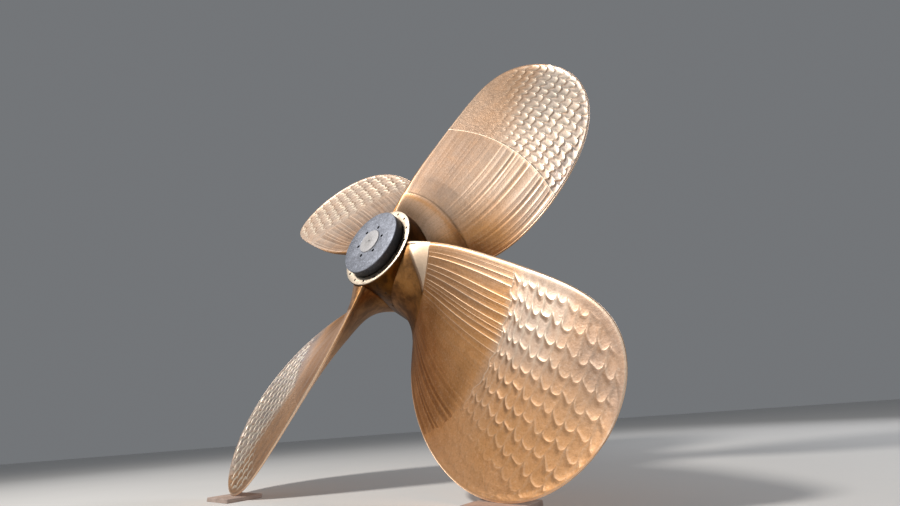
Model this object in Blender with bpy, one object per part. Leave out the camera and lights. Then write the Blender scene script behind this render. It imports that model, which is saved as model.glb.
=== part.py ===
"""Ship propeller: one four-bladed bronze casting with its shaft end and nut,
standing on the tips of two blades, each in the pocket of a steel seat plate.

Metres, +Z up. The origin is on the underside of the left seat plate, below the tip
that stands in it. The nut end of the shaft faces -Y and rises from the ground.
"""
import math

import bmesh
import bpy
from mathutils import Matrix

# Propeller as a whole
RADIUS = 3.5
BLADES = 4
SHAFT_TILT = math.radians(16.5)
BLADE_ROLL = math.radians(75.6)
HUB_PLACE = (0.527 * RADIUS, 0.176 * RADIUS, 0.8025 * RADIUS)

# Blade planform, in radii, as polynomials of the span fraction from ROOT_RADIUS to the tip
ROOT_RADIUS = 0.19
CHORD = (0.349, 1.048, -1.435, 0.852)
TIP_ROUNDING = 4.84
SWEEP = (0.167, 0.563, -0.165, -0.073)
RAKE = (0.0, 0.061, -0.050)
PITCH = (1.219, 0.491, -0.403)

# Blade section, in radii
ROOT_THICKNESS = 0.074
TIP_THICKNESS = 0.007
ROOT_EDGE = 0.013
TIP_EDGE = 0.004
CAMBER = 0.018
FILLET_SPREAD = 0.080
FILLET_REACH = 0.150
FILLET_POWER = 3.2
TIP_TRIM = 0.002
SPAN_STEPS = 17
CHORD_STEPS = 12

# Hub, in metres along the shaft line from the blades' reference plane
HUB_AFT = 0.0615
HUB_FORWARD = -1.16
HUB_AFT_RADIUS = 0.565
HUB_MID_RADIUS = 0.578
HUB_FORWARD_RADIUS = 0.590
HUB_CHAMFER = 0.010
BORE_AFT_RADIUS = 0.245
BORE_FORWARD_RADIUS = 0.320
FACING_OVERHANG = 0.020
FACING_DEPTH = 0.30
FACING_STOCK = 0.004
TURNED_STEPS = 64

# Tapped holes for the fairing cap, in the flat ring between the nut and the hub's edge
CAP_HOLES = 16
CAP_HOLE_OUTWARD = 0.003
CAP_HOLE_RADIUS = 0.012
CAP_HOLE_DEPTH = 0.045
CAP_HOLE_START = math.radians(-17.8)

# Plugged filling holes in the hub's barrel
PLUG_PLACES = ((math.radians(-160.5), -0.215), (math.radians(-175.5), -0.500))
PLUG_HOLE_RADIUS = 0.016
PLUG_HOLE_DEPTH = 0.080
PLUG_LENGTH = 0.045
PLUG_SINK = 0.012

# Nut and shaft end
NUT_RADIUS = 0.453
NUT_HEIGHT = 0.130
NUT_SEAT_SINK = 0.003
NUT_SEAT_CLEARANCE = 0.005
NUT_CHAMFER = 0.008
THREAD_RADIUS = 0.166
SHAFT_PROUD = 0.012
SHAFT_FORWARD = 0.045
SHAFT_CHAMFER = 0.006
NUT_HOLES = 6
NUT_HOLE_CIRCLE = 0.215
NUT_HOLE_RADIUS = 0.017
NUT_HOLE_DEPTH = 0.060
NUT_HOLE_START = math.radians(-13.5)

# Seat plates: centre, turn about Z, length and width
PLATE_THICKNESS = 0.040
PLATE_SIZE = (0.52, 0.40)
PLATE_EDGE = 0.004
PLATES = {
    "seat_plate_left": ((0.03, 0.01), math.radians(-2.0)),
    "seat_plate_right": ((3.47, 0.36), math.radians(-2.0)),
}
POCKET_CLEARANCE = 0.0006

GAP = 0.0003
HOLE_SIDES = 16


def clear_scene():
    for item in list(bpy.data.objects):
        bpy.data.objects.remove(item, do_unlink=True)


def polynomial(coefficients, x):
    return sum(c * x ** power for power, c in enumerate(coefficients))


def material(name, colour, roughness, metallic):
    made = bpy.data.materials.new(name)
    made.use_nodes = True
    shader = made.node_tree.nodes["Principled BSDF"]
    shader.inputs["Base Color"].default_value = (*colour, 1.0)
    shader.inputs["Roughness"].default_value = roughness
    shader.inputs["Metallic"].default_value = metallic
    return made


def object_from(name, form, place=None, finish=None):
    mesh = bpy.data.meshes.new(name)
    form.to_mesh(mesh)
    form.free()
    made = bpy.data.objects.new(name, mesh)
    bpy.context.scene.collection.objects.link(made)
    if place is not None:
        made.matrix_world = place
    if finish is not None:
        mesh.materials.append(finish)
        mesh.shade_smooth()
        mesh.set_sharp_from_angle(angle=math.radians(32))
    return made


def as_cutter(made):
    made.hide_render = True
    made.display_type = "WIRE"
    return made


def combine(target, tool, operation):
    modifier = target.modifiers.new(f"{operation.lower()} {tool.name}", "BOOLEAN")
    modifier.operation = operation
    modifier.solver = "EXACT"
    modifier.object = tool


def shaft_frame():
    """Frame of the propeller: Z along the shaft toward the nut, X along the first blade."""
    return (Matrix.Translation(HUB_PLACE)
            @ Matrix.Rotation(math.pi / 2 - SHAFT_TILT, 4, "X")
            @ Matrix.Rotation(BLADE_ROLL, 4, "Z"))


def turned(profile, closed=False):
    """Turn a profile of (radius, height) points about Z; a closed one makes a ring."""
    form = bmesh.new()
    rings = []
    for radius, height in profile:
        ring = []
        for step in range(TURNED_STEPS):
            angle = 2 * math.pi * step / TURNED_STEPS
            ring.append(form.verts.new((radius * math.cos(angle), radius * math.sin(angle), height)))
        rings.append(ring)
    pairs = list(zip(rings, rings[1:]))
    if closed:
        pairs.append((rings[-1], rings[0]))
    for lower, upper in pairs:
        for step in range(TURNED_STEPS):
            after = (step + 1) % TURNED_STEPS
            form.faces.new((lower[step], lower[after], upper[after], upper[step]))
    if not closed:
        form.faces.new(list(reversed(rings[0])))
        form.faces.new(rings[-1])
    bmesh.ops.recalc_face_normals(form, faces=form.faces)
    return form


def drills(places, radius, depth):
    """Cylinders whose outer ends stand clear of the surface that they are sunk into."""
    form = bmesh.new()
    for place in places:
        bmesh.ops.create_cone(form, cap_ends=True, segments=HOLE_SIDES, radius1=radius,
                              radius2=radius, depth=2 * depth, matrix=place)
    return form


def hole_circle(count, radius, start, height):
    places = []
    for index in range(count):
        angle = start + 2 * math.pi * index / count
        places.append(Matrix.Translation((radius * math.cos(angle), radius * math.sin(angle), height)))
    return places


def section(radius):
    """Points around the blade at one radius: along the face to the trailing edge, back along the back."""
    span = max(0.0, (radius - ROOT_RADIUS) / (1 - ROOT_RADIUS))
    chord = polynomial(CHORD, span) * math.sqrt(1 - span ** TIP_ROUNDING)
    middle = polynomial(SWEEP, span)
    thickness = ROOT_THICKNESS + (TIP_THICKNESS - ROOT_THICKNESS) * span
    edge = ROOT_EDGE + (TIP_EDGE - ROOT_EDGE) * span
    above_hub = radius - HUB_MID_RADIUS / RADIUS
    fillet = FILLET_SPREAD * max(0.0, 1 - max(0.0, above_hub) / FILLET_REACH) ** FILLET_POWER
    camber = CAMBER * chord * min(1.0, span / 0.2)
    face, back = [], []
    for step in range(CHORD_STEPS + 1):
        across = math.cos(math.pi * step / CHORD_STEPS)
        bulge = 1 - across * across
        spread = fillet * (0.45 + 0.35 * across)
        along = middle + (chord / 2 + spread) * across
        half_edge = edge / 2 + 0.5 * spread
        half_middle = thickness / 2 + fillet * (0.7 + 0.3 * across)
        half = half_edge + (half_middle - half_edge) * bulge ** 0.8
        face.append((along, half - camber * bulge))
        back.append((along, -half - camber * bulge))
    return face + back[::-1]


def on_helix(radius, along, normal):
    """Place of a section's point; along runs to the leading edge, normal to the nut end."""
    span = (radius - ROOT_RADIUS) / (1 - ROOT_RADIUS)
    slope = math.atan2(polynomial(PITCH, span), 2 * math.pi * radius)
    turn = -(along * math.cos(slope) + normal * math.sin(slope)) / radius
    height = polynomial(RAKE, span) - along * math.sin(slope) + normal * math.cos(slope)
    return (RADIUS * radius * math.cos(turn), RADIUS * radius * math.sin(turn), RADIUS * height)


def blade_radii():
    """Radii of the sections, in radii of the propeller: close in the root fillet and at the tip."""
    hub = HUB_MID_RADIUS / RADIUS
    radii = [hub - 0.022, hub - 0.004]
    radii += [hub + FILLET_REACH * part for part in (0.1, 0.22, 0.38, 0.58, 0.8)]
    start = hub + FILLET_REACH
    for step in range(SPAN_STEPS):
        radii.append(start + (1 - TIP_TRIM - start) * math.sin(math.pi / 2 * step / (SPAN_STEPS - 1)))
    return radii


def blade_form():
    form = bmesh.new()
    rings = []
    for radius in blade_radii():
        rings.append([form.verts.new(on_helix(radius, *point)) for point in section(radius)])
    count = len(rings[0])
    for inner, outer in zip(rings, rings[1:]):
        for step in range(count):
            after = (step + 1) % count
            form.faces.new((inner[step], inner[after], outer[after], outer[step]))
    for ring in (rings[0], rings[-1]):
        for step in range(CHORD_STEPS):
            form.faces.new((ring[step], ring[step + 1], ring[count - 2 - step], ring[count - 1 - step]))
    bmesh.ops.recalc_face_normals(form, faces=form.faces)
    return form


def nut_seat_radius():
    return NUT_RADIUS + NUT_SEAT_CLEARANCE


def cap_hole_circle():
    """Radius of the circle of holes, a little outward of the ring's middle."""
    return (nut_seat_radius() + HUB_AFT_RADIUS - HUB_CHAMFER) / 2 + CAP_HOLE_OUTWARD


def hub_form():
    """Barrel of the hub as cast, with the stock that the facing cut takes off its aft end."""
    chamfer = HUB_CHAMFER
    cast_end = HUB_AFT + FACING_STOCK
    return turned([
        (BORE_AFT_RADIUS, cast_end),
        (HUB_AFT_RADIUS - chamfer - FACING_STOCK, cast_end),
        (HUB_AFT_RADIUS, HUB_AFT - chamfer),
        (HUB_MID_RADIUS, HUB_FORWARD * 0.5),
        (HUB_FORWARD_RADIUS, HUB_FORWARD + 2 * chamfer),
        (HUB_FORWARD_RADIUS - 2 * chamfer, HUB_FORWARD),
        (BORE_FORWARD_RADIUS, HUB_FORWARD),
    ], closed=True)


def facing_form():
    """Turned cut that makes the hub's aft face and the nut's seat, and trims the blade roots to them."""
    radius = HUB_AFT_RADIUS + FACING_OVERHANG
    return turned([
        (nut_seat_radius(), HUB_AFT - NUT_SEAT_SINK),
        (nut_seat_radius(), HUB_AFT),
        (radius, HUB_AFT),
        (radius, HUB_AFT + FACING_DEPTH),
    ])


def casting(frame, bronze):
    hub = object_from("propeller_casting", hub_form(), frame, bronze)
    blade = object_from("blade_1", blade_form(), frame)
    blades = [as_cutter(blade)]
    for index in range(1, BLADES):
        made = bpy.data.objects.new(f"blade_{index + 1}", blade.data)
        bpy.context.scene.collection.objects.link(made)
        made.matrix_world = frame @ Matrix.Rotation(2 * math.pi * index / BLADES, 4, "Z")
        blades.append(as_cutter(made))
    for tool in blades:
        combine(hub, tool, "UNION")
    drill = object_from("plug_hole_drill",
                        drills(plug_places(), PLUG_HOLE_RADIUS, PLUG_HOLE_DEPTH), frame)
    combine(hub, as_cutter(drill), "DIFFERENCE")
    half_step = Matrix.Rotation(math.pi / TURNED_STEPS, 4, "Z")
    facing = object_from("aft_facing_cut", facing_form(), frame @ half_step)
    combine(hub, as_cutter(facing), "DIFFERENCE")
    cap_holes = hole_circle(CAP_HOLES, cap_hole_circle(), CAP_HOLE_START, HUB_AFT)
    drill = object_from("cap_hole_drill", drills(cap_holes, CAP_HOLE_RADIUS, CAP_HOLE_DEPTH), frame)
    combine(hub, as_cutter(drill), "DIFFERENCE")
    return blades


def plug_places():
    """Frames on the hub's barrel with Z pointing out of it."""
    places = []
    for angle, height in PLUG_PLACES:
        places.append(Matrix.Rotation(angle, 4, "Z")
                      @ Matrix.Translation((HUB_MID_RADIUS, 0, height))
                      @ Matrix.Rotation(math.pi / 2, 4, "Y"))
    return places


def plugs(frame, brass):
    for index, place in enumerate(plug_places()):
        form = bmesh.new()
        sink = Matrix.Translation((0, 0, -PLUG_SINK - PLUG_LENGTH / 2))
        bmesh.ops.create_cone(form, cap_ends=True, segments=HOLE_SIDES,
                              radius1=PLUG_HOLE_RADIUS - GAP, radius2=PLUG_HOLE_RADIUS - GAP,
                              depth=PLUG_LENGTH, matrix=sink)
        object_from(f"hub_plug_{index + 1}", form, frame @ place, brass)


def nut_base():
    return HUB_AFT - NUT_SEAT_SINK + GAP


def shaft(frame, steel):
    shoulder = nut_base() - 2 * GAP
    nut_top = nut_base() + NUT_HEIGHT
    chamfer = SHAFT_CHAMFER
    end = BORE_FORWARD_RADIUS - GAP
    form = turned([
        (end - chamfer, HUB_FORWARD - SHAFT_FORWARD),
        (end, HUB_FORWARD - SHAFT_FORWARD + chamfer),
        (end, HUB_FORWARD),
        (BORE_AFT_RADIUS - GAP, shoulder),
        (THREAD_RADIUS - GAP, shoulder),
        (THREAD_RADIUS - GAP, nut_top + SHAFT_PROUD - chamfer / 2),
        (THREAD_RADIUS - GAP - chamfer / 2, nut_top + SHAFT_PROUD),
    ])
    object_from("shaft_end", form, frame, steel)


def nut(frame, steel):
    base = nut_base()
    top = base + NUT_HEIGHT
    form = turned([
        (THREAD_RADIUS, base),
        (NUT_RADIUS - NUT_CHAMFER, base),
        (NUT_RADIUS, base + NUT_CHAMFER),
        (NUT_RADIUS, top - NUT_CHAMFER),
        (NUT_RADIUS - NUT_CHAMFER, top),
        (THREAD_RADIUS, top),
    ], closed=True)
    made = object_from("propeller_nut", form, frame, steel)
    holes = hole_circle(NUT_HOLES, NUT_HOLE_CIRCLE, NUT_HOLE_START, top)
    drill = object_from("nut_hole_drill", drills(holes, NUT_HOLE_RADIUS, NUT_HOLE_DEPTH), frame)
    combine(made, as_cutter(drill), "DIFFERENCE")


def seat_plates(tips, steel):
    """Plates on the ground with a pocket cut by the blade tip that stands in it."""
    for (name, (centre, turn)), tip in zip(PLATES.items(), tips):
        form = bmesh.new()
        size = Matrix.Diagonal((*PLATE_SIZE, PLATE_THICKNESS, 1))
        raised = Matrix.Translation((0, 0, PLATE_THICKNESS / 2))
        bmesh.ops.create_cube(form, size=1, matrix=raised @ size)
        upper = [edge for edge in form.edges
                 if any(vert.co.z > PLATE_THICKNESS / 2 for vert in edge.verts)]
        bmesh.ops.bevel(form, geom=upper, offset=PLATE_EDGE, segments=1, affect="EDGES")
        place = Matrix.Translation((*centre, 0)) @ Matrix.Rotation(turn, 4, "Z")
        plate = object_from(name, form, place, steel)
        pocket = bpy.data.objects.new(f"{name}_pocket", tip.data)
        bpy.context.scene.collection.objects.link(as_cutter(pocket))
        pocket.matrix_world = tip.matrix_world
        grow = pocket.modifiers.new("clearance", "DISPLACE")
        grow.mid_level = 0.0
        grow.strength = POCKET_CLEARANCE
        combine(plate, pocket, "DIFFERENCE")


def build():
    clear_scene()
    bronze = material("cast_bronze", (0.50, 0.33, 0.17), 0.35, 1.0)
    dark_steel = material("dark_steel", (0.16, 0.18, 0.22), 0.45, 0.8)
    bright_steel = material("bright_steel", (0.55, 0.54, 0.55), 0.35, 1.0)
    brass = material("brass_plug", (0.30, 0.22, 0.12), 0.45, 1.0)
    plate_steel = material("plate_steel", (0.42, 0.36, 0.32), 0.7, 0.3)
    frame = shaft_frame()
    blades = casting(frame, bronze)
    plugs(frame, brass)
    shaft(frame, bright_steel)
    nut(frame, dark_steel)
    seat_plates((blades[2], blades[3]), plate_steel)


build()
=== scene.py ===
"""Looks of the ship propeller: finely ground bronze blades and hub, nut, shaft end and seat plates.

Sizes are those of the part's source. Metres, +Z up, in the part's own frame.
"""
import math

import bpy
import numpy as np
from mathutils import Matrix, Vector


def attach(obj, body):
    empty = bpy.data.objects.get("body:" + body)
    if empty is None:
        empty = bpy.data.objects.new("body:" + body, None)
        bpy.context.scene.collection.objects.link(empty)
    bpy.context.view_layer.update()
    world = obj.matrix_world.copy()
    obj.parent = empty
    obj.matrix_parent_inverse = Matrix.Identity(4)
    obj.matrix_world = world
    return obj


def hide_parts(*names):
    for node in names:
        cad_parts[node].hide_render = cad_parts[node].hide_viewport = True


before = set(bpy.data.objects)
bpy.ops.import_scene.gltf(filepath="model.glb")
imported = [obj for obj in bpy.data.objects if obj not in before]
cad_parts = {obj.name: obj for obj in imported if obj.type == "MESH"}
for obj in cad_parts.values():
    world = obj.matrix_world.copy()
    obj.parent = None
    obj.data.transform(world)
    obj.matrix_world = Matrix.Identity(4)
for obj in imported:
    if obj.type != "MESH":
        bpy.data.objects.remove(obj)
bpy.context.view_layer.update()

# Propeller
RADIUS = 3.5
HUB_PLACE = (0.527 * RADIUS, 0.176 * RADIUS, 0.8025 * RADIUS)
SHAFT_FRAME = (Matrix.Translation(HUB_PLACE)
               @ Matrix.Rotation(math.pi / 2 - math.radians(16.5), 4, "X")
               @ Matrix.Rotation(math.radians(75.6), 4, "Z"))

# Blade planform and section, in radii, over the span from ROOT_RADIUS to the tip
ROOT_RADIUS = 0.19
TIP_RADIUS = 0.998
CHORD = (0.349, 1.048, -1.435, 0.852)
TIP_ROUNDING = 4.84
SWEEP = (0.167, 0.563, -0.165, -0.073)
RAKE = (0.0, 0.061, -0.050)
PITCH = (1.219, 0.491, -0.403)
ROOT_THICKNESS, TIP_THICKNESS = 0.074, 0.007
ROOT_EDGE, TIP_EDGE = 0.013, 0.004
CAMBER = 0.018
FILLET_SPREAD, FILLET_REACH, FILLET_POWER = 0.080, 0.150, 3.2

# Points of a blade's net. Its rings are cut in two passes, because one pass makes 100 cuts at most.
# EVEN_RINGS of them stand evenly before the tip closes, and EVEN_POINTS is how evenly points stand
# across the chord.
FACE_POINTS, BACK_POINTS, NOSE_POINTS = 240, 46, 8
RING_CUTS = (12, 22)
RINGS = (RING_CUTS[0] + 1) * (RING_CUTS[1] + 1) + 1
EVEN_RINGS, EVEN_POINTS = 0.93, 0.72
EDGE_CHAMFER, EDGE_CHAMFER_WIDTH = 0.0025, 0.014

# Turned pieces: sides of round forms and of holes, the gap between pieces, and the angles, in
# degrees, over which an edge is rounded and over which it is shaded sharp
ROUND_SIDES, HOLE_SIDES = 256, 32
GAP = 0.0003
ROUNDED_ANGLE, SHARP_ANGLE, BLADE_SHARP_ANGLE = 25, 30, 38

# Hub, in metres along the shaft
HUB_AFT, HUB_FORWARD = 0.0615, -1.16
HUB_AFT_RADIUS, HUB_MID_RADIUS, HUB_FORWARD_RADIUS = 0.565, 0.578, 0.590
HUB_CHAMFER, HUB_ROUNDING = 0.010, 0.0025
BORE_AFT_RADIUS, BORE_FORWARD_RADIUS = 0.245, 0.320
FACING_RADIUS, FACING_DEPTH = 0.585, 0.30
# A hole's SHADE_REACH, here and below, is how far past its radius the painted shade in it reaches
CAP_HOLES, CAP_HOLE_CIRCLE, CAP_HOLE_RADIUS, CAP_HOLE_DEPTH = 16, 0.5095, 0.012, 0.045
CAP_HOLE_START, CAP_HOLE_MOUTH, CAP_HOLE_SHADE_REACH = math.radians(-17.8), 0.006, 0.0062
PLUG_PLACES = ((math.radians(-160.5), -0.215), (math.radians(-175.5), -0.500))
PLUG_HOLE_RADIUS, PLUG_HOLE_DEPTH = 0.016, 0.080

# Nut and shaft end
NUT_RADIUS, NUT_BASE, NUT_TOP, NUT_ROUNDING = 0.453, 0.0588, 0.1888, 0.002
NUT_CHAMFER, NUT_FOOT_CHAMFER, THREAD_CHAMFER = 0.008, 0.006, 0.004
NUT_SEAT_RADIUS, NUT_SEAT = 0.458, 0.0585
THREAD_RADIUS = 0.166
SHAFT_TOP, SHAFT_FORWARD, SHAFT_ROUNDING = 0.2008, -1.205, 0.0015
SHAFT_CHAMFER, SHAFT_FORWARD_CHAMFER = 0.005, 0.006
CENTRE_HOLE = ((0.002, -0.030), (0.007, -0.018), (0.007, -0.006), (0.013, 0.001))
CENTRE_HOLE_SIDES, CENTRE_HOLE_SHADE_REACH = 48, 0.012
NUT_HOLES, NUT_HOLE_CIRCLE, NUT_HOLE_RADIUS, NUT_HOLE_DEPTH = 6, 0.215, 0.017, 0.060
NUT_HOLE_START, NUT_HOLE_MOUTH, NUT_HOLE_SHADE_REACH = math.radians(-13.5), 0.005, 0.0045

# Marks left by grinding, in radii, blade by blade: flutes from the root line to the dividing line
# and scallops beyond. Lines are polynomials of the place along the chord.
ROOT_LINES = (0.262, 0.250, 0.250, 0.271)
DIVIDING_LINES = ((0.600, 0.035), (0.595, 0.035), (0.595, 0.035), (0.5944, 0.298, -0.349))
OUTER_LINES = ((0.600, 0.0), (0.598, 0.0), (0.598, 0.0), (0.600, 0.05))
FLUTES = (22, 26, 28, 28)
ROW_PITCHES = (0.0323, 0.0360, 0.0315, 0.0312)
STEP_PITCHES = (0.0425, 0.0480, 0.0442, 0.0480)
ROW_SHIFTS = (-0.37, -0.42, -0.29, -0.26)
BOWLS, DIPS = (2.0, 2.0, 2.5, 2.3), (0.45, 0.45, 0.60, 1.0)

# The form of a scallop: how far its end bows, how much of a half circle the bow is, how far it
# leans and where it is deepest. The turns make one cut differ from the next.
ARC, ARC_SHARE, SKEW, LANDING = 0.45, 0.98, 0.30, 0.30
STEP_TURN, ROW_TURN, FLUTE_TURN = 5.1, 1.3, 4.3

# Depths in metres
DEEPEST, DEEPEST_FLUTE, ROOT_STEP = 0.0066, 0.0030, 0.0045

# Tones, blade by blade: rims, dividing line, painted highlights on flute edges, streaks, painted
# shade in creases and painted highlights on ridges, and how wide the ridges and how many the
# streaks are
RIM_TONES, LINE_TONES = (0.25, 0.25, 0.6, 0.5), (1.0, 0.2, 0.0, 0.5)
EDGE_HIGHLIGHT_TONES, STREAK_TONES = (0.0, 0.5, 0.0, 0.85), (0.30, 0.40, 0.85, 0.35)
CREASE_SHADE_TONES, RIDGE_HIGHLIGHT_TONES = (0.55, 0.55, 0.95, 0.55), (0.55, 1.0, 1.0)
RIDGE_WIDTHS, STREAK_COUNTS = (1.0, 0.5, 0.7, 0.1), (4.0, 4.0, 0.6, 4.0)

# Floor, lamps (name, direction, diameter, power and colour) and camera
FLOOR_SIZE, FLOOR_PLACE = 160, (1.75, 0, -0.0015)
SKY_COLOUR, SKY_STRENGTH = (0.86, 0.90, 0.95, 1), 0.20
LIT_PLACE, LAMP_DISTANCE = Vector((1.9, 0.8, 2.6)), 14
LAMPS = (
    ("key", (-0.319, -0.689, 0.651), 2.4, 1950, (1.0, 0.96, 0.90)),
    ("side", (-0.93, 0.0, 0.38), 3.0, 90, (0.93, 0.96, 1.0)),
    ("back", (0.5, 0.8, 0.45), 6.0, 500, (0.97, 0.98, 1.0)),
)
CAMERA_PLACE = Vector((5.46957958, -2.81802379, 0.61383372))
CAMERA_FORWARD = Vector((-0.54311138, 0.74467656, 0.38792635))
CAMERA_UPWARD = Vector((0.28662792, -0.26982725, 0.91925931))
SENSOR_WIDTH, FOCAL_LENGTH, FARTHEST = 36, 16.4726, 400


def smooth(low, high, value):
    share = np.clip((value - low) / (high - low), 0, 1)
    return share * share * (3 - 2 * share)


def polynomial(coefficients, x):
    return sum(c * x ** power for power, c in enumerate(coefficients))


def alone(made):
    bpy.ops.object.select_all(action="DESELECT")
    made.select_set(True)
    bpy.context.view_layer.objects.active = made


def newest(name):
    made = bpy.context.active_object
    made.name = name
    made.data.name = name
    return made


def apply_modifier(made, kind, **settings):
    alone(made)
    modifier = made.modifiers.new(kind.title(), kind)
    for key, value in settings.items():
        setattr(modifier, key, value)
    bpy.ops.object.modifier_apply(modifier=modifier.name)


def cut(made, cutter):
    apply_modifier(made, "BOOLEAN", operation="DIFFERENCE", solver="EXACT", object=cutter)
    bpy.data.objects.remove(cutter, do_unlink=True)


def settle(made, place):
    """Put the mesh where the piece belongs and leave its object at the origin."""
    alone(made)
    made.matrix_world = place
    bpy.ops.object.transform_apply(location=True, rotation=True, scale=True)


def set_on_shaft(made, sharp_angle):
    """Settle a piece on the shaft and shade it smooth, but for its sharp edges."""
    settle(made, SHAFT_FRAME)
    bpy.ops.object.shade_smooth_by_angle(angle=math.radians(sharp_angle))


def round_edges(made, width):
    apply_modifier(made, "BEVEL", width=width, segments=3, limit_method="ANGLE",
                   angle_limit=math.radians(ROUNDED_ANGLE))


def vertex_places(mesh):
    places = np.zeros(len(mesh.vertices) * 3)
    mesh.vertices.foreach_get("co", places)
    return places.reshape(-1, 3)


def keep_on(mesh, name, values):
    """Keep a number at each vertex for the material."""
    mesh.attributes.new(name, "FLOAT", "POINT").data.foreach_set("value", values.astype(np.float32))


def lay_map(mesh, name, across, up):
    """A UV map from one pair of numbers at each vertex."""
    corners = np.zeros(len(mesh.loops), int)
    mesh.loops.foreach_get("vertex_index", corners)
    pairs = np.stack([across[corners], up[corners]], -1)
    layer = mesh.uv_layers.get(name) or mesh.uv_layers.new(name=name)
    layer.uv.foreach_set("vector", pairs.astype(np.float32).ravel())


def turned(name, profile, sides=ROUND_SIDES, ring=False):
    """Turn (radius, height) points about Z by extruding a circle from point to point. A ring's last
    circle is joined to its first; other forms are closed with a flat end."""
    bpy.ops.object.select_all(action="DESELECT")
    bpy.ops.mesh.primitive_circle_add(vertices=sides, radius=profile[0][0],
                                      location=(0, 0, profile[0][1]))
    made = newest(name)
    bpy.ops.object.transform_apply(location=True, rotation=True, scale=True)
    bpy.ops.object.mode_set(mode="EDIT")
    bpy.ops.mesh.select_mode(type="EDGE")
    bpy.ops.mesh.select_all(action="SELECT")
    for (radius, height), (next_radius, next_height) in zip(profile, profile[1:]):
        bpy.ops.mesh.extrude_edges_move(
            TRANSFORM_OT_translate={"value": (0, 0, next_height - height)})
        share = next_radius / radius
        bpy.ops.transform.resize(value=(share, share, 1), center_override=(0, 0, next_height))
    bpy.ops.mesh.select_all(action="DESELECT")
    bpy.ops.mesh.select_non_manifold()
    if ring:
        bpy.ops.mesh.bridge_edge_loops()
    else:
        bpy.ops.mesh.fill_holes(sides=0)
    bpy.ops.mesh.select_all(action="SELECT")
    bpy.ops.mesh.normals_make_consistent(inside=False)
    bpy.ops.object.mode_set(mode="OBJECT")
    return made


def drills(count, circle, start, radius, top, depth, mouth):
    """Cutters for a circle of holes that open out by mouth just under the surface."""
    made = []
    for index in range(count):
        turn = start + 2 * math.pi * index / count
        drill = turned("drill", [
            (radius, top - depth), (radius, top - mouth), (radius + mouth - 0.001, top - 0.001),
            (radius + mouth, top), (radius + mouth, top + 0.02),
        ], HOLE_SIDES)
        settle(drill, Matrix.Translation((circle * math.cos(turn), circle * math.sin(turn), 0)))
        made.append(drill)
    for drill in made:
        drill.select_set(True)
    bpy.context.view_layer.objects.active = made[0]
    bpy.ops.object.join()
    return made[0]


def section_net():
    """How the points round a blade lie: across the chord from the trailing edge, -1, to the leading
    edge, 1; on which side, 1 the face and -1 the back; and how far they jut out round an edge."""
    face = np.linspace(1, -1, FACE_POINTS)
    back = np.linspace(-1, 1, BACK_POINTS)
    face, back = (EVEN_POINTS * row + (1 - EVEN_POINTS) * np.sin(row * math.pi / 2)
                  for row in (face, back))
    nose = np.linspace(0.5, -0.5, NOSE_POINTS + 2)[1:-1] * math.pi
    across = np.concatenate([face, -np.ones(NOSE_POINTS), back, np.ones(NOSE_POINTS)])
    side = np.concatenate([
        np.ones(FACE_POINTS), np.sin(nose), -np.ones(BACK_POINTS), np.sin(-nose)])
    jut = np.concatenate([
        np.zeros(FACE_POINTS), np.cos(nose), np.zeros(BACK_POINTS), np.cos(nose)])
    return across, side, jut


def ring_radii():
    """Radii of the rings: even up the blade, then closer and closer as the tip closes."""
    start = HUB_MID_RADIUS / RADIUS - 0.012
    step = np.linspace(0, 1, RINGS)
    slope = 2 / (1 + EVEN_RINGS)
    closing = 1 - (1 - step) ** 2 / (1 - EVEN_RINGS ** 2)
    return start + (TIP_RADIUS - start) * np.where(step < EVEN_RINGS, slope * step, closing)


def section(radius, across, side, jut):
    """Along and normal places, in radii, of the points of a blade's section, and its chord."""
    span = np.maximum(0.0, (radius - ROOT_RADIUS) / (1 - ROOT_RADIUS))
    tip_span = (TIP_RADIUS - ROOT_RADIUS) / (1 - ROOT_RADIUS) * 1.000005
    chord = polynomial(CHORD, span) * np.sqrt(1 - (span / tip_span) ** TIP_ROUNDING)
    thickness = ROOT_THICKNESS + (TIP_THICKNESS - ROOT_THICKNESS) * span
    edge = ROOT_EDGE + (TIP_EDGE - ROOT_EDGE) * span
    above_hub = np.maximum(0.0, radius - HUB_MID_RADIUS / RADIUS)
    fillet = FILLET_SPREAD * np.maximum(0.0, 1 - above_hub / FILLET_REACH) ** FILLET_POWER
    spread = fillet * (0.45 + 0.35 * across)
    reach = chord / 2 + spread
    half_edge = edge / 2 + 0.5 * spread
    nose = np.minimum(half_edge, 0.45 * reach)
    bulge = 1 - across * across
    half_middle = thickness / 2 + fillet * (0.7 + 0.3 * across)
    half = half_edge + (half_middle - half_edge) * bulge ** 0.8
    along = polynomial(SWEEP, span) + (reach - nose) * across + nose * jut * np.sign(across)
    camber = CAMBER * chord * np.minimum(1.0, span / 0.2)
    return along, half * side - camber * bulge, chord


def on_helix(radius, along, normal):
    """Places in metres, in the shaft's frame, of points given in radii round the blade's helix."""
    span = (radius - ROOT_RADIUS) / (1 - ROOT_RADIUS)
    slope = np.arctan2(polynomial(PITCH, span), 2 * math.pi * radius)
    turn = -(along * np.cos(slope) + normal * np.sin(slope)) / radius
    height = polynomial(RAKE, span) - along * np.sin(slope) + normal * np.cos(slope)
    return RADIUS * np.stack([radius * np.cos(turn), radius * np.sin(turn), height], -1)


def dividing_line(index, along):
    """Where flutes end and scallops begin; on the last blade the line is jagged."""
    jag = (index == 3) * (0.0035 * np.sin(63 * along) + 0.0025 * np.sin(131 * along))
    return polynomial(DIVIDING_LINES[index], along) + jag


def flute_places(index, radius, across):
    """Which flute a point is in, counted across the face from the trailing edge."""
    fan = (across + 1) * 5 + index
    wander = 0.30 * np.sin(2.1 * fan) + 0.16 * np.sin(5.3 * fan)
    waver = 0.25 * np.sin(11 * radius + 7 * across + index) * (radius - ROOT_LINES[index])
    return (across + 1) / 2 * FLUTES[index] + wander + waver


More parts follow.
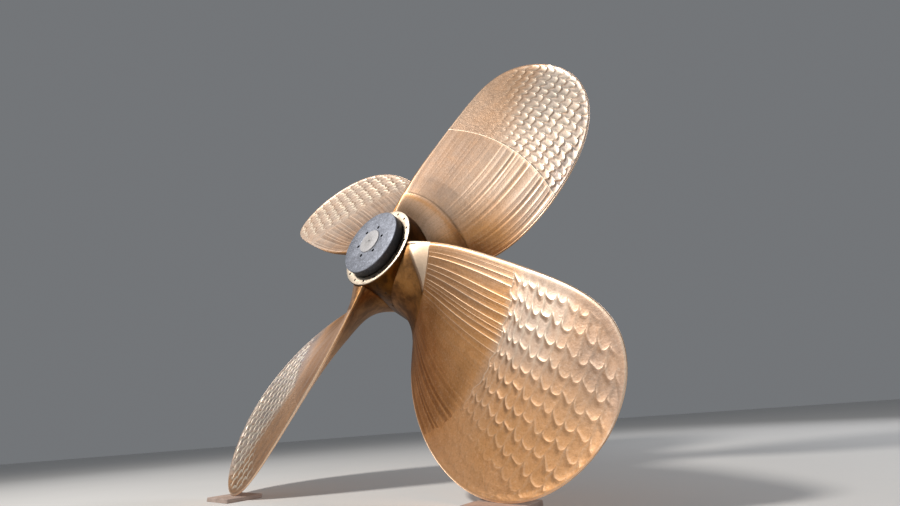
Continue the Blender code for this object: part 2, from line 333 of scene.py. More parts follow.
def flutes(index, radius, along, place, strength):
    """Depth of the long flutes that grinding left on the inner part of a face."""
    cell = np.floor(place)
    middle = 2 * (place - cell) - 1
    root, outer = ROOT_LINES[index], dividing_line(index, along)
    ends = smooth(root, root + 0.05, radius) * smooth(outer, outer - 0.014, radius)
    depth = (0.75 + 0.35 * np.sin(FLUTE_TURN * cell)) * strength * ends
    return depth * (1 - np.abs(middle) ** 3)


def scallop_places(index, radius, along):
    """How many steps along its row a point is, and how many rows out from the dividing line."""
    beyond = radius - dividing_line(index, along)
    outer = radius - polynomial(OUTER_LINES[index], along)
    rows = (beyond + (outer - beyond) * smooth(0.61, 0.72, radius)) / ROW_PITCHES[index]
    steps = along / STEP_PITCHES[index] + 0.09 * np.sin(along * 37 + 1.7 * rows + index)
    wave = 0.06 * np.sin(1.6 * math.pi * steps + 1.9 * rows) + 0.07 * np.sin(13 * along + index)
    rows = rows + wave * smooth(0.0, 1.0, rows)
    return steps + ROW_SHIFTS[index] * rows, rows


def scallops(index, steps, rows, strength):
    """Depth of the overlapping cuts that run in rows round the outer part of a face."""
    middle = 2 * (rows - np.floor(rows)) - 1
    bulge = middle - SKEW * (1 - middle ** 2)
    place = steps + ARC * (1 - np.sqrt(1 - ARC_SHARE * bulge ** 2))
    step = np.floor(place)
    part = place - step
    depth = 0.90 + 0.20 * np.sin(STEP_TURN * step + ROW_TURN * rows)
    past_landing = np.maximum(0, part - LANDING) / (1 - LANDING)
    dish = smooth(0, LANDING, part) * (1 - past_landing ** BOWLS[index])
    dip = middle + SKEW * (1 - middle ** 2)
    return depth * strength * dish * (1 - DIPS[index] * dip ** 2) ** 0.7


# The numbers in the next functions place what grinding and weather left on each blade, as the photo
# shows it: shares of the radius, of the chord or of a tone.
# They also place painted light and shade: tones that stand in for how each blade was lit.


def strengths(index, radius, along, across):
    """How deep, in metres, each blade was cut by hand: its scallops and its flutes."""
    outward = radius - OUTER_LINES[index][0]
    if index == 0:
        scallop = 0.16 + 0.66 * smooth(0.28, 0.58, along + 0.15 * outward)
        flute = ((0.30 + 1.10 * smooth(-0.35, 0.1, across))
                 * (0.35 + 0.65 * smooth(0.35, 0.58, radius)))
    elif index == 1:
        shown = smooth(0.12, 0.34, along + 0.15 * outward)
        scallop = (0.10 + 0.30 * shown) * (0.4 + 0.6 * smooth(0.02, 0.10, outward))
        flute = 0.50 + 0.45 * smooth(0.3, -0.4, across)
    elif index == 2:
        shown = np.maximum(smooth(-0.45, -0.05, across), smooth(0.82, 0.90, radius))
        scallop = (0.25 + 0.75 * shown) * (1.25 + 0.35 * smooth(0.2, 0.5, along))
        flute = 0.60 + 0.40 * smooth(-0.3, 0.4, across)
    else:
        faded = np.maximum(smooth(0.32, 0.56, along - 0.60 * outward),
                           0.68 * smooth(0.05, 0.26, outward))
        scallop = 0.85 - 0.62 * faded
        flute = 0.9 - 0.72 * smooth(-0.30, -0.10, across) * smooth(0.45, 0.2, across)
    return DEEPEST * scallop, DEEPEST_FLUTE * flute


def ridge_tone(index, radius, along):
    """How strong the painted highlight on the ridges between cuts is."""
    if index < 3:
        return np.full_like(radius, RIDGE_HIGHLIGHT_TONES[index])
    outward = radius - OUTER_LINES[index][0]
    return 0.9 - 0.65 * np.maximum(smooth(0.10, 0.26, outward), smooth(0.24, 0.42, along))


def bed_shade_tone(index, across, beyond):
    """How strong the painted shade in the beds of the cuts is: the creases of scallops and the beds
    of flutes.
    """
    flute_shade_tone = 0.35
    if index == 0:
        flute_shade_tone = 0.30 + 0.25 * smooth(-0.3, 0.0, across)
    elif index == 3:
        flute_shade_tone = 0.30 + 0.60 * smooth(0.20, 0.55, across)
    return np.where(beyond, CREASE_SHADE_TONES[index], flute_shade_tone)


def root_shade(index, radius, along, across):
    """How brown a face is round its root, as patina and painted shade from the hub, with painted
    shadow lines at the root step; where a painted patch of sunlight lies on the last blade; and a
    height that bends its shading there."""
    line = ROOT_LINES[index]
    inside = smooth(line + 0.004, line - 0.001, radius)
    none = np.zeros_like(radius)
    if index == 0:
        # A painted shadow line along the step at the root line
        painted_step_shadow = np.exp(-((radius - line) / 0.0035) ** 2) * smooth(-0.7, 0.1, across)
        brown = 0.30 * smooth(0.205, 0.180, radius) + 0.75 * painted_step_shadow
        return brown, none, 1000 * np.minimum(0, radius - line) * (1 - across ** 2)
    if index == 3:
        # A painted patch of sunlight on the wedge of the root near the trailing edge
        painted_light = inside * smooth(0.0, 0.014, radius - 0.172 - 0.57 * along)
        # A painted shadow line along the root line
        painted_seam_shadow = np.exp(-((radius - line - 0.003) / 0.004) ** 2) * smooth(0.06, 0.15, along)
        brown = inside * (1 - painted_light) + 0.8 * painted_seam_shadow * smooth(0.45, 0.25, along)
        return brown, painted_light, 125 * along * painted_light
    # Brown patina and painted shade inside the root line
    return (0.45 if index == 1 else 0.95) * inside, none, none


def tan(index, radius, along, across):
    """How golden the bronze is, as patina and painted reflection: -1 silvery, 0 pale, 1 golden, 2
    brown.
    """
    inner, outer = smooth(0.60, 0.30, radius), smooth(0.62, 0.78, radius)
    if index == 0:
        return (0.15 - 0.55 * outer * smooth(-0.5, 0.2, across)
                - 0.45 * smooth(-0.3, 0.1, across) * (1 - inner)
                + 0.20 * smooth(-0.1, -0.5, across) + 1.35 * inner * smooth(-0.1, 0.9, across)
                + 0.45 * np.exp(-((radius - 0.247) / 0.010) ** 2)
                + 0.15 * smooth(0.26, 0.24, radius))
    if index == 1:
        return -0.30 + 0.65 * inner
    if index == 2:
        return (0.9 * smooth(0.1, -0.5, across)
                - 1.0 * smooth(-0.4, 0.1, across) * smooth(0.58, 0.68, radius)
                + 2.4 * smooth(0.64, 0.42, radius))
    fluted = smooth(0.66, 0.60, radius)
    # A painted highlight: a paler spot on the trailing third
    painted_light = smooth(0.62, 0.68, radius) * smooth(0.86, 0.76, radius) * smooth(-0.05, -0.50, across)
    return (0.35 + 0.70 * fluted * smooth(-1.0, -0.6, across) + 0.60 * inner
            + 0.18 * smooth(-0.4, 0.2, across) + 0.06 * smooth(0.2, 0.7, across) - 0.60 * painted_light)


def dull(index, radius, across):
    """How much grey lies on the bronze, as grey film, painted shade and painted reflection: 0 none,
    1 all.
    """
    if index == 0:
        return (0.50 * smooth(0.78, 0.45, radius) * smooth(0.1, -0.5, across)
                * smooth(0.25, 0.31, radius)
                + 0.32 * smooth(0.35, 0.7, across) * smooth(0.80, 0.70, radius)
                * smooth(0.42, 0.54, radius)
                + 0.50 * smooth(0.66, 0.88, across) * smooth(0.56, 0.66, radius))
    if index == 1:
        return (0.20 + 0.18 * smooth(0.60, 0.40, radius)
                + 0.30 * smooth(0.4, 0.85, across) * smooth(0.76, 0.88, radius))
    if index == 2:
        return (0.10 + 0.20 * smooth(0.50, 0.60, radius) + 0.62 * smooth(-0.5, 0.3, across)
                * smooth(0.50, 0.60, radius) * (1 - 0.6 * smooth(0.78, 0.92, radius)))
    return (0.26 * smooth(0.0, -0.6, across) * smooth(0.64, 0.70, radius)
            + 0.22 * smooth(0.62, 0.50, radius) * smooth(-0.2, -0.6, across)
            + 0.28 * smooth(0.80, 0.90, radius) * smooth(-0.1, -0.6, across))


def ringed_cylinder(name, count):
    """A cylinder cut into rings, and at which ring and which point of it each vertex is."""
    bpy.ops.object.select_all(action="DESELECT")
    bpy.ops.mesh.primitive_cylinder_add(vertices=count, radius=1, depth=1)
    made = newest(name)
    mesh = made.data
    for cuts in RING_CUTS:
        bpy.ops.object.mode_set(mode="EDIT")
        bpy.ops.mesh.select_mode(type="EDGE")
        bpy.ops.mesh.select_all(action="DESELECT")
        bpy.ops.object.mode_set(mode="OBJECT")
        upright = [abs(mesh.vertices[a].co.z - mesh.vertices[b].co.z) > 0.01 for a, b in
                   (edge.vertices for edge in mesh.edges)]
        mesh.edges.foreach_set("select", upright)
        bpy.ops.object.mode_set(mode="EDIT")
        bpy.ops.mesh.subdivide(number_cuts=cuts)
        bpy.ops.object.mode_set(mode="OBJECT")
    places = vertex_places(mesh)
    turn = np.arctan2(places[:, 1], places[:, 0])
    point = np.rint((turn - turn[0]) / (2 * math.pi) * count).astype(int) % count
    ring = np.rint((places[:, 2] + 0.5) * (RINGS - 1)).astype(int)
    return made, (ring, point)


def blade(index):
    """A blade as one net of rings, with the relief of grinding and the marks that colour it."""
    across, side, jut = section_net()
    made, spots = ringed_cylinder(f"blade_{index + 1}", len(across))
    mesh = made.data

    radius = ring_radii()[:, None] * np.ones(len(across))
    across = across * np.ones_like(radius)
    along, normal, chord = section(radius, across, side, jut)
    lean = np.gradient(along, radius[:, 0], axis=0)
    to_edge = RADIUS * np.minimum((1 - np.abs(across)) * chord / 2 / np.sqrt(1 + lean ** 2),
                                  TIP_RADIUS - radius)
    face, last = side > 0.999, index == 3
    root_line = ROOT_LINES[index]

    # Relief: past is how far beyond the dividing line, in rows of the last blade
    margin = 0.045 + 0.06 * (index == 2) + 0.10 * last * smooth(0.1, -0.3, across)
    on_face = face * smooth(0.010, margin, to_edge)
    scallop, flute = strengths(index, radius, along, across)
    fan = flute_places(index, radius, across)
    steps, rows = scallop_places(index, radius, along)
    past = (radius - dividing_line(index, along)) / ROW_PITCHES[3]
    beyond = past > 0
    depth = on_face * np.where(beyond, scallops(index, steps, rows, scallop),
                               flutes(index, radius, along, fan, flute))
    ground_off = (ROOT_STEP * smooth(root_line, root_line + 0.004, radius) * face
                  * smooth(0.008, 0.10, to_edge))
    chamfer = EDGE_CHAMFER * np.clip(1 - to_edge / EDGE_CHAMFER_WIDTH, 0, 1) * face
    normal = normal - (depth + ground_off + chamfer * (radius > 0.26)) / RADIUS
    mesh.vertices.foreach_set("co", on_helix(radius, along, normal)[spots].ravel())

    # Marks for the material; wrapped lets the painted patch of sunlight go round the trailing edge
    shade, painted_light, bent = root_shade(index, radius, along, across)
    wrapped = np.where(face, 1.0, smooth(-0.6, 0.2, side) * (across < -0.999) * last)
    # Backs go brown towards the root: patina and painted shade
    root = np.where(face, shade, 0.9 * smooth(0.50, 0.21, radius) * (1 - painted_light * wrapped))
    share = scallop / scallop.max()
    streaked = np.where(beyond, smooth(0.1, -0.4, across) * (index == 2),
                        (1 - 0.5 * smooth(-0.5, 0.1, across) * last) * (1 - painted_light))
    back_tan = 0.35 + 1.4 * smooth(0.60, 0.25, radius)
    marks = {
        "rim": smooth(0.018, 0.010, to_edge) * (1 - root) * RIM_TONES[index],
        "root": root,
        "painted_light": painted_light * wrapped,
        "bent": bent * face,
        "lined": LINE_TONES[index] * smooth(0.60, 0.40, along * last) * face,
        "scalloped": share * beyond * on_face,
        "fluted": (flute / DEEPEST_FLUTE * ~beyond * on_face * (1 - root)
                   * smooth(root_line, root_line + 0.006, radius)),
        "plain": beyond * (1 - smooth(0.15, 0.60, share)),
        "ridge_highlight_share": ridge_tone(index, radius, along),
        "wide": np.full_like(radius, RIDGE_WIDTHS[index]),
        "past": past,
        "bed_shade": bed_shade_tone(index, across, beyond),
        "streaked": streaked * STREAK_TONES[index] * face,
        "tan": np.where(face, tan(index, radius, along, across), back_tan),
        "dull": dull(index, radius, across) * face,
        "edge_highlight": EDGE_HIGHLIGHT_TONES[index] * smooth(-0.05, -0.25, across),
    }
    for name, values in marks.items():
        keep_on(mesh, name, values[spots])
    lay_map(mesh, "ground", along[spots], radius[spots])
    lay_map(mesh, "rows", steps[spots], rows[spots])
    lay_map(mesh, "fan", fan[spots], fan[spots] * STREAK_COUNTS[index])
    mesh.update()

    alone(made)
    bpy.ops.object.mode_set(mode="EDIT")
    bpy.ops.mesh.select_all(action="SELECT")
    bpy.ops.mesh.normals_make_consistent(inside=False)
    bpy.ops.object.mode_set(mode="OBJECT")
    settle(made, Matrix.Rotation(index * math.pi / 2, 4, "Z"))
    cut(made, turned("facing", [(FACING_RADIUS, HUB_AFT), (FACING_RADIUS, HUB_AFT + FACING_DEPTH)]))
    set_on_shaft(made, BLADE_SHARP_ANGLE)
    return made


def hub():
    made = turned("hub_barrel", [
        (BORE_AFT_RADIUS, NUT_SEAT),
        (NUT_SEAT_RADIUS, NUT_SEAT),
        (NUT_SEAT_RADIUS, HUB_AFT),
        (HUB_AFT_RADIUS - HUB_CHAMFER, HUB_AFT),
        (HUB_AFT_RADIUS, HUB_AFT - HUB_CHAMFER),
        (HUB_MID_RADIUS, HUB_FORWARD * 0.5),
        (HUB_FORWARD_RADIUS, HUB_FORWARD + 2 * HUB_CHAMFER),
        (HUB_FORWARD_RADIUS - 2 * HUB_CHAMFER, HUB_FORWARD),
        (BORE_FORWARD_RADIUS, HUB_FORWARD),
    ], ring=True)
    round_edges(made, HUB_ROUNDING)
    cut(made, drills(CAP_HOLES, CAP_HOLE_CIRCLE, CAP_HOLE_START, CAP_HOLE_RADIUS, HUB_AFT,
                     CAP_HOLE_DEPTH, CAP_HOLE_MOUTH))
    for turn, height in PLUG_PLACES:
        hole = turned("plug_hole", [
            (PLUG_HOLE_RADIUS, HUB_MID_RADIUS - PLUG_HOLE_DEPTH),
            (PLUG_HOLE_RADIUS, HUB_MID_RADIUS + 0.1)], HOLE_SIDES)
        settle(hole, Matrix.Rotation(turn, 4, "Z") @ Matrix.Translation((0, 0, height))
               @ Matrix.Rotation(math.pi / 2, 4, "Y"))
        cut(made, hole)
    set_on_shaft(made, SHARP_ANGLE)
    return made


def nut():
    made = turned("nut", [
        (THREAD_RADIUS, NUT_BASE),
        (NUT_RADIUS - NUT_FOOT_CHAMFER, NUT_BASE),
        (NUT_RADIUS, NUT_BASE + NUT_FOOT_CHAMFER),
        (NUT_RADIUS, NUT_TOP - NUT_CHAMFER),
        (NUT_RADIUS - NUT_CHAMFER, NUT_TOP),
        (THREAD_RADIUS + THREAD_CHAMFER, NUT_TOP),
        (THREAD_RADIUS, NUT_TOP - THREAD_CHAMFER),
    ], ring=True)
    round_edges(made, NUT_ROUNDING)
    cut(made, drills(NUT_HOLES, NUT_HOLE_CIRCLE, NUT_HOLE_START, NUT_HOLE_RADIUS, NUT_TOP,
                     NUT_HOLE_DEPTH, NUT_HOLE_MOUTH))
    set_on_shaft(made, SHARP_ANGLE)
    return made


def shaft_end():
    forward, aft, thread = (radius - GAP for radius in
                            (BORE_FORWARD_RADIUS, BORE_AFT_RADIUS, THREAD_RADIUS))
    made = turned("shaft_face", [
        (forward - SHAFT_FORWARD_CHAMFER, SHAFT_FORWARD),
        (forward, SHAFT_FORWARD + SHAFT_FORWARD_CHAMFER),
        (forward, HUB_FORWARD),
        (aft, NUT_SEAT - GAP),
        (thread, NUT_SEAT - GAP),
        (thread, SHAFT_TOP - SHAFT_CHAMFER),
        (thread - SHAFT_CHAMFER, SHAFT_TOP),
    ])
    round_edges(made, SHAFT_ROUNDING)
    cut(made, turned("centre_drill", [
        (radius, SHAFT_TOP + height) for radius, height in CENTRE_HOLE], CENTRE_HOLE_SIDES))
    set_on_shaft(made, SHARP_ANGLE)
    return made


class Value:
    """A socket that takes part in sums; each sum adds its Math node to the same tree."""

    def __init__(self, finish, socket):
        self.finish, self.socket = finish, socket

    def maths(self, operation, *others, clamp=False):
        return self.finish.add("ShaderNodeMath", {"operation": operation, "use_clamp": clamp},
                               dict(enumerate([self, *others])))

    def __add__(self, other):
        return self.maths("ADD", other)

    __radd__ = __add__

    def __mul__(self, other):
        return self.maths("MULTIPLY", other)

    def __sub__(self, other):
        return self.maths("SUBTRACT", other)

    def __rsub__(self, other):
        return (self * -1) + other

    def __pow__(self, other):
        return self.maths("POWER", other)

    def wave(self):
        return self.maths("SINE")

    def size(self):
        return self.maths("ABSOLUTE")

    def whole(self):
        return self.maths("FLOOR")

    def between(self, low, high):
        """0 below low, 1 above high and smooth between."""
        return self.finish.add("ShaderNodeMapRange", {"interpolation_type": "SMOOTHSTEP"},
                               {"Value": self, "From Min": low, "From Max": high})

    def held(self):
        """The value kept from 0 to 1."""
        return self.maths("ADD", 0.0, clamp=True)


class Finish:
    """A material's nodes round one Principled shader."""

    def __init__(self, name, metallic):
        self.material = bpy.data.materials.new(name)
        self.material.use_nodes = True
        self.nodes = self.material.node_tree.nodes
        self.links = self.material.node_tree.links
        self.shader = self.nodes["Principled BSDF"]
        self.shader.inputs["Metallic"].default_value = metallic

    def add(self, kind, settings=None, sockets=None, output=0):
        """A node with its settings, and its sockets linked or set; gives one of its outputs."""
        node = self.nodes.new(kind)
        for key, value in (settings or {}).items():
            setattr(node, key, value)
        for key, value in (sockets or {}).items():
            if isinstance(value, Value):
                self.links.new(value.socket, node.inputs[key])
            else:
                node.inputs[key].default_value = value
        return Value(self, node.outputs[output])

    def feed(self, name, value):
        self.links.new(value.socket, self.shader.inputs[name])

    def place(self):
        """Place in the part's own frame, in metres."""
        return self.add("ShaderNodeTexCoord", output="Object")

    def map(self, name):
        return self.add("ShaderNodeUVMap", {"uv_map": name})

    def kept(self, name):
        """The number that keep_on left at each vertex."""
        return self.add("ShaderNodeAttribute", {"attribute_name": name}, output="Fac")

    def stretched(self, vector, scale):
        return self.add("ShaderNodeMapping", {}, {"Vector": vector, "Scale": scale})

    def part(self, vector, axis):
        return self.add("ShaderNodeSeparateXYZ", {}, {0: vector}, output=axis)

    def joined(self, x, y, z):
        return self.add("ShaderNodeCombineXYZ", {}, {0: x, 1: y, 2: z})

    def noise(self, vector, scale, detail=3.0, roughness=0.5, distortion=0.0):
        return self.add("ShaderNodeTexNoise", {}, {
            "Vector": vector, "Scale": scale, "Detail": detail, "Roughness": roughness,
            "Distortion": distortion})

    def blend(self, share, first, second, kind="MIX"):
        """Mix two colours; each is a link or three numbers."""
        colours = [c if isinstance(c, Value) else (*c, 1) for c in (first, second)]
        return self.add("ShaderNodeMix", {"data_type": "RGBA", "blend_type": kind},
                        {0: share, 6: colours[0], 7: colours[1]}, output=2)

    def bump(self, height, strength, distance):
        self.feed("Normal", self.add("ShaderNodeBump", {}, {
            "Height": height, "Strength": strength, "Distance": distance}))


def ground_bronze():
    """Bronze ground by hand: painted highlights where cuts meet, painted shade in their beds, and
    brown patina with painted shade at the root.
    """
    made = Finish("ground_bronze", 1.0)
    place, ground = made.place(), made.map("ground")
    scalloped, fluted, rim = made.kept("scalloped"), made.kept("fluted"), made.kept("rim")
    root, ridge_highlight_share, painted_light = made.kept("root"), made.kept("ridge_highlight_share"), made.kept("painted_light")
    high = made.part(place, "Z")
    up = made.part(ground, "Y")
    steps, rows = made.part(made.map("rows"), "X"), made.part(made.map("rows"), "Y")
    fan, streak_place = made.part(made.map("fan"), "X"), made.part(made.map("fan"), "Y")

    # Scallops, in step with the relief, with painted highlights on their ridges and painted shade
    # in their creases
    row = rows.whole()
    middle = (rows - row) * 2 - 1
    bulge = middle - (1 - middle * middle) * SKEW
    bowl = 1 - bulge * bulge
    count = steps + (1 - (1 - bulge * bulge * ARC_SHARE) ** 0.5) * ARC
    step = count.whole()
    part = count - step
    lot = (step * STEP_TURN + rows * ROW_TURN).wave()
    shown, wide = scalloped.between(0.10, 0.75), made.kept("wide")
    ridge_highlight = (part.between(0.84 - wide * 0.30, 0.95 - wide * 0.18) * (1 - part.between(0.985, 1.0))
             * (bowl.between(0.0, 0.2) + wide).held())
    arm = (1 - bowl.between(0.08, 0.40)) * (1 - part.between(0.5, 0.8) * 0.5)
    scallop_highlight = (ridge_highlight + arm * (0.65 - wide * 0.55)).held() * shown
    crease_shade = (part.between(0.0, 0.03) * (1 - part.between(0.08, 0.40 - wide * 0.10))
              * (1 - middle.between(0.30, 0.75)) * shown)

    # Flutes and the line that divides them from the scallops; painted highlights on flute edges and
    # painted shade in flute beds
    flute = fan.whole()
    side = ((fan - flute) * 2 - 1).size()
    flute_edge_highlight = side.between(0.84, 0.97) * fluted * made.kept("edge_highlight")
    flute_bed_shade = (1 - side.between(0.3, 0.9)) * fluted * ((flute * FLUTE_TURN).wave() * 0.35 + 0.65)
    past, streaked, bed_shade = made.kept("past"), made.kept("streaked"), made.kept("bed_shade")
    divide = past.between(-0.12, -0.08) * (1 - past.between(-0.02, 0.02)) * made.kept("lined")

    # Colour
    cloud = made.noise(place, 0.9, 4)
    mottle = made.noise(place, 5.5, 6, 0.62)
    stain = made.noise(made.stretched(place, (3.0, 3.0, 0.8)), 2.2, 6, 0.65, 0.4)
    # More golden low down: painted warm reflection of the ground
    tone_and_reflection = made.kept("tan") + (1 - high.between(0.4, 1.6)) * 0.3 + (cloud - 0.5) * 0.9
    colour = made.blend(tone_and_reflection.held(), (0.89, 0.67, 0.52), (0.82, 0.43, 0.18))
    colour = made.blend((tone_and_reflection - 1).held(), colour, (0.42, 0.19, 0.060))
    colour = made.blend((tone_and_reflection * -1).held(), colour, (0.96, 0.85, 0.75))
    # Grey film, painted shade and painted reflection
    colour = made.blend(made.kept("dull"), colour, (0.31, 0.26, 0.25))
    colour = made.blend(mottle.between(0.35, 0.75) * 0.30, colour, (0.60, 0.34, 0.17))
    colour = made.blend(stain.between(0.56, 0.80) * 0.35, colour, (0.38, 0.20, 0.10))
    streak = made.noise(made.joined(streak_place, up * 3, 0.0), 1.0, 3, 0.55)
    # Painted shade in the creases of scallops and in the beds of flutes
    colour = made.blend(crease_shade * (bed_shade + lot * 0.15), colour, (0.36, 0.20, 0.11))
    colour = made.blend(flute_bed_shade * bed_shade, colour, (0.52, 0.42, 0.32), "MULTIPLY")
    colour = made.blend(streak.between(0.46, 0.66) * streaked, colour, (0.48, 0.29, 0.18))
    grain = made.noise(place, 48, 4, 0.7)
    colour = made.blend(grain.between(0.50, 0.70) * 0.34, colour, (0.55, 0.44, 0.36), "MULTIPLY")
    colour = made.blend((1 - grain.between(0.32, 0.48)) * 0.35, colour, (0.42, 0.38, 0.32),
                        "SCREEN")
    # Brown patina and painted shade round the root, where the hub shades the blades
    brown = made.blend(mottle.between(0.36, 0.64), (0.34, 0.165, 0.050), (0.10, 0.042, 0.012))
    colour = made.blend(root * (0.72 + stain * 0.25), colour, brown)
    # Painted highlights on ridges and flute edges, paler rims along the edges, the pale dividing
    # line and the painted patch of sunlight
    pale = (scallop_highlight * ridge_highlight_share * 0.85 + flute_edge_highlight * 0.6 + rim * 0.6 + divide * 0.7
            + painted_light * 0.52).held()
    colour = made.blend(pale, colour, (1.0, 0.88, 0.72))
    made.feed("Base Color", colour)

    # Roughness and fine relief
    swirl = made.noise(made.joined(part * 9, row, 0.0), 1.0, 2)
    stipple = made.noise(ground, 190, 3, 0.6)
    pits = made.noise(ground, 62, 3, 0.6, 0.8)
    rough = 0.47 + (mottle - 0.5) * 0.20 + (stain - 0.5) * 0.12 + root * 0.05
    made.feed("Roughness", rough.held())
    plain = made.kept("plain")
    height = (swirl * 0.35 * shown + streak * streaked * 1.4 + divide * 0.5 + flute_edge_highlight * 0.3
              + part ** 6 * bowl.between(0.0, 0.4) * shown * 1.2 + made.kept("bent")
              + (stipple * 0.6 + pits * 0.9) * (plain * 0.7 + 0.3))
    made.bump(height, 0.6, 0.005)
    return made.material


def turned_bronze():
    """Bronze of the hub: turned end face and a smoother barrel, dark brown as oxide and painted
    shade, painted lighter on the side towards the first blade.
    """
    made = Finish("turned_bronze", 1.0)
    place, lathe = made.place(), made.map("lathe")
    mottle = made.noise(place, 6.0, 6, 0.6)
    stain = made.noise(made.stretched(place, (2.0, 2.0, 1.0)), 2.6, 6, 0.65, 0.5)
    end = made.kept("end_face")
    # Dark brown of the barrel: oxide and painted shade
    colour = made.blend(mottle.between(0.3, 0.7), (0.17, 0.068, 0.011), (0.080, 0.031, 0.006))
    colour = made.blend(stain.between(0.48, 0.70) * 0.75, colour, (0.030, 0.013, 0.005))
    # Painted light on the side of the barrel towards the first blade
    colour = made.blend(made.kept("painted_lit_side") * (0.55 + mottle * 0.3), colour, (0.42, 0.25, 0.17))
    colour = made.blend(end, colour, (0.88, 0.74, 0.59))
    # Painted shade in the holes
    colour = made.blend(made.kept("hole"), colour, (0.012, 0.010, 0.009))
    made.feed("Base Color", colour)
    lines = made.noise(made.stretched(lathe, (6, 900, 1)), 1.0, 3, 0.6)
    made.feed("Roughness", (0.42 + (mottle - 0.5) * 0.22 - end * 0.06).held())
    made.bump(lines * 0.5 + mottle * 0.5, 0.35, 0.003)
    return made.material


def turned_steel(name, colour, dull, metallic):
    """Steel with concentric turning marks, dulled and spotted by weather, with a painted highlight
    on its rim and painted shade on its side and in its holes.
    """
    made = Finish(name, metallic)
    place, lathe = made.place(), made.map("lathe")
    mottle = made.noise(place, 9.0, 6, 0.62)
    spots = made.noise(place, 46.0, 4, 0.75)
    lines = made.noise(made.stretched(lathe, (1.5, 700, 1)), 1.0, 3, 0.65)
    tone = made.blend(mottle.between(0.3, 0.72), colour, dull)
    tone = made.blend(spots.between(0.48, 0.66) * 0.55, tone, tuple(0.45 * c for c in dull))
    tone = made.blend((1 - spots.between(0.34, 0.46)) * 0.45, tone, tuple(2.0 * c for c in colour))
    # A painted highlight on the rim
    tone = made.blend(made.kept("rim") * 0.7, tone, tuple(1.9 * c for c in colour))
    # Painted shade: the nut's side near black
    tone = made.blend(made.kept("side"), tone, (0.006, 0.0055, 0.0055))
    # Painted shade in the holes
    tone = made.blend(made.kept("hole"), tone, (0.006, 0.006, 0.007))
    made.feed("Base Color", tone)
    made.feed("Roughness", (0.46 + (mottle - 0.5) * 0.2 + lines * 0.1).held())
    made.bump(lines * 0.5 + spots * 0.7, 0.5, 0.002)
    return made.material


def dark_brass():
    made = Finish("dark_brass", 0.7)
    mottle = made.noise(made.place(), 60.0, 5, 0.6)
    made.feed("Base Color", made.blend(mottle.between(0.3, 0.7), (0.10, 0.065, 0.035),
                                       (0.045, 0.030, 0.018)))
    made.feed("Roughness", (0.5 + mottle * 0.25).held())
    made.bump(mottle, 0.4, 0.001)
    return made.material


def weathered_plate():
    """Steel plate that dust and thin rust have made pale and pinkish."""
    made = Finish("weathered_plate", 0.15)
    place = made.place()
    cloud = made.noise(place, 5.0, 6, 0.65)
    grain = made.noise(place, 90.0, 4, 0.6)
    rust = made.noise(place, 14.0, 6, 0.7, 0.3)
    tone = made.blend(cloud.between(0.35, 0.7), (0.52, 0.41, 0.36), (0.40, 0.31, 0.27))
    tone = made.blend(rust.between(0.56, 0.72) * 0.55, tone, (0.26, 0.13, 0.075))
    made.feed("Base Color", tone)
    made.feed("Roughness", (0.62 + grain * 0.25).held())
    made.bump(grain * 0.5 + rust * 0.6, 0.5, 0.002)
    return made.material


def floor_and_light():
    bpy.ops.object.select_all(action="DESELECT")
    bpy.ops.mesh.primitive_plane_add(size=FLOOR_SIZE, location=FLOOR_PLACE)
    ground = newest("floor")
    pale = Finish("pale_floor", 0.0)
    pale.feed("Base Color", pale.blend(pale.noise(pale.place(), 0.6, 3), (0.74, 0.73, 0.72),
                                       (0.70, 0.69, 0.68)))
    pale.shader.inputs["Roughness"].default_value = 0.7
    ground.data.materials.append(pale.material)

    world = bpy.data.worlds.new("studio")
    bpy.context.scene.world = world
    world.use_nodes = True
    backdrop = world.node_tree.nodes["Background"]
    backdrop.inputs["Color"].default_value = SKY_COLOUR
    backdrop.inputs["Strength"].default_value = SKY_STRENGTH
    bpy.context.scene.view_settings.view_transform = "Standard"

    for name, towards, size, power, colour in LAMPS:
        light = bpy.data.lights.new(name, "AREA")
        light.shape, light.size, light.energy, light.color = "DISK", size, power, colour
        lamp = bpy.data.objects.new(name, light)
        bpy.context.scene.collection.objects.link(lamp)
        lamp.location = LIT_PLACE + Vector(towards).normalized() * LAMP_DISTANCE
        lamp.rotation_euler = (LIT_PLACE - lamp.location).to_track_quat("-Z", "Y").to_euler()


def camera():
    lens = bpy.data.cameras.new("camera")
    lens.sensor_width, lens.lens, lens.clip_end = SENSOR_WIDTH, FOCAL_LENGTH, FARTHEST
    made = bpy.data.objects.new("camera", lens)
    bpy.context.scene.collection.objects.link(made)
    right = CAMERA_FORWARD.cross(CAMERA_UPWARD)
    turn = Matrix((right, CAMERA_UPWARD, -CAMERA_FORWARD)).transposed().to_4x4()
    made.matrix_world = Matrix.Translation(CAMERA_PLACE) @ turn
    bpy.context.scene.camera = made


def shaft_places(made):
    """Where a settled piece's vertices are in the shaft's frame."""
    inward = np.array(SHAFT_FRAME.inverted())
    return vertex_places(made.data) @ inward[:3, :3].T + inward[:3, 3]


def lay_lathe_map(made):
    """Map of turn and place along the profile; gives each vertex's turn, radius and height."""
    x, y, height = shaft_places(made).T
    turn, radius = np.arctan2(y, x), np.hypot(x, y)
    lay_map(made.data, "lathe", turn, radius - height)
    return turn, radius, height


def mark_holes(made, count, circle, start, reach, top):
    """Mark the walls of a circle of holes, which are painted dark as shade."""
    x, y, height = shaft_places(made).T[:, :, None]
    turns = start + 2 * math.pi * np.arange(count) / count
    away = np.hypot(x - circle * np.cos(turns), y - circle * np.sin(turns)).min(axis=1)
    keep_on(made.data, "hole", (away < reach) * (height[:, 0] < top - 0.0005))


def finish_with(made, material, slot, *nodes):
    made.data.materials.clear()
    made.data.materials.append(material)
    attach(made, "root")
    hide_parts(*nodes)


def repaint(material, *nodes):
    for name in nodes:
        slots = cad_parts[name].data.materials
        slots.clear()
        slots.append(material)


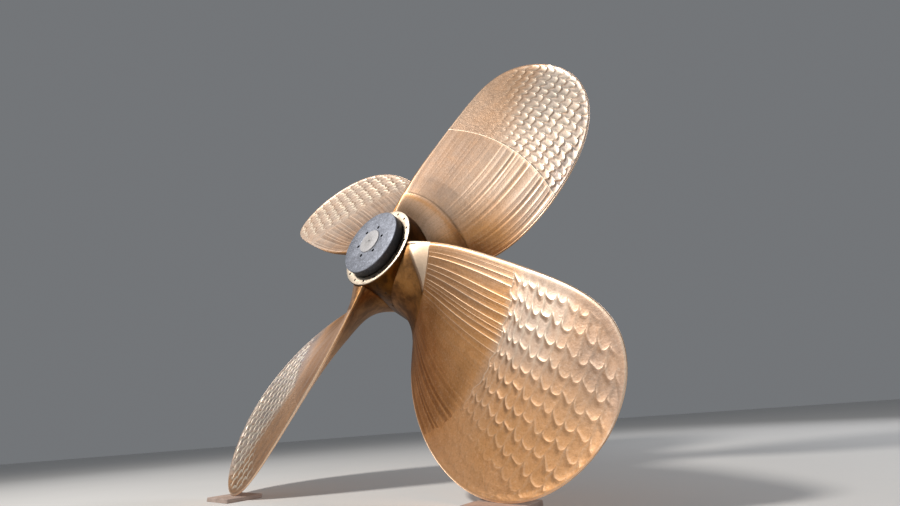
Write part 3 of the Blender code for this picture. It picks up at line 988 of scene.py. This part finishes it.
def dress():
    bronze = ground_bronze()
    for index in range(4):
        finish_with(blade(index), bronze, "cast_bronze", "propeller_casting")

    barrel = hub()
    turn, radius, height = lay_lathe_map(barrel)
    keep_on(barrel.data, "end_face", smooth(HUB_AFT - 0.004, HUB_AFT - 0.001, height)
            * (radius > NUT_SEAT_RADIUS - 0.001))
    # Painted light: the barrel lighter towards the first blade
    keep_on(barrel.data, "painted_lit_side", smooth(1.0, 0.5, np.abs(turn)))
    mark_holes(barrel, CAP_HOLES, CAP_HOLE_CIRCLE, CAP_HOLE_START,
               CAP_HOLE_RADIUS + CAP_HOLE_SHADE_REACH, HUB_AFT)
    finish_with(barrel, turned_bronze(), "cast_bronze", "propeller_casting")

    ring_nut = nut()
    _, radius, height = lay_lathe_map(ring_nut)
    # A painted highlight on the nut's chamfer
    keep_on(ring_nut.data, "rim", smooth(NUT_RADIUS - 0.010, NUT_RADIUS - 0.008, radius)
            * (height > NUT_TOP - 0.009))
    # The nut's side, painted near black as shade
    keep_on(ring_nut.data, "side", smooth(NUT_TOP - 0.008, NUT_TOP - 0.012, height)
            * (radius > NUT_RADIUS - 0.02))
    mark_holes(ring_nut, NUT_HOLES, NUT_HOLE_CIRCLE, NUT_HOLE_START,
               NUT_HOLE_RADIUS + NUT_HOLE_SHADE_REACH, NUT_TOP)
    steel = turned_steel("dark_steel_turned", (0.215, 0.23, 0.275), (0.14, 0.15, 0.18), 0.75)
    finish_with(ring_nut, steel, "dark_steel", "propeller_nut")

    end = shaft_end()
    _, radius, height = lay_lathe_map(end)
    # A painted highlight on the shaft end's chamfer
    keep_on(end.data, "rim", smooth(THREAD_RADIUS - 0.010, THREAD_RADIUS - 0.004, radius)
            * (height > SHAFT_TOP - 0.01))
    keep_on(end.data, "side", np.zeros_like(radius))
    mark_holes(end, 1, 0.0, 0.0, CENTRE_HOLE_SHADE_REACH, SHAFT_TOP - 0.010)
    steel = turned_steel("bright_steel_turned", (0.335, 0.330, 0.345), (0.285, 0.280, 0.286), 0.15)
    finish_with(end, steel, "bright_steel", "shaft_end")

    repaint(dark_brass(), "hub_plug_1", "hub_plug_2")
    repaint(weathered_plate(), "seat_plate_left", "seat_plate_right")


dress()
floor_and_light()
camera()
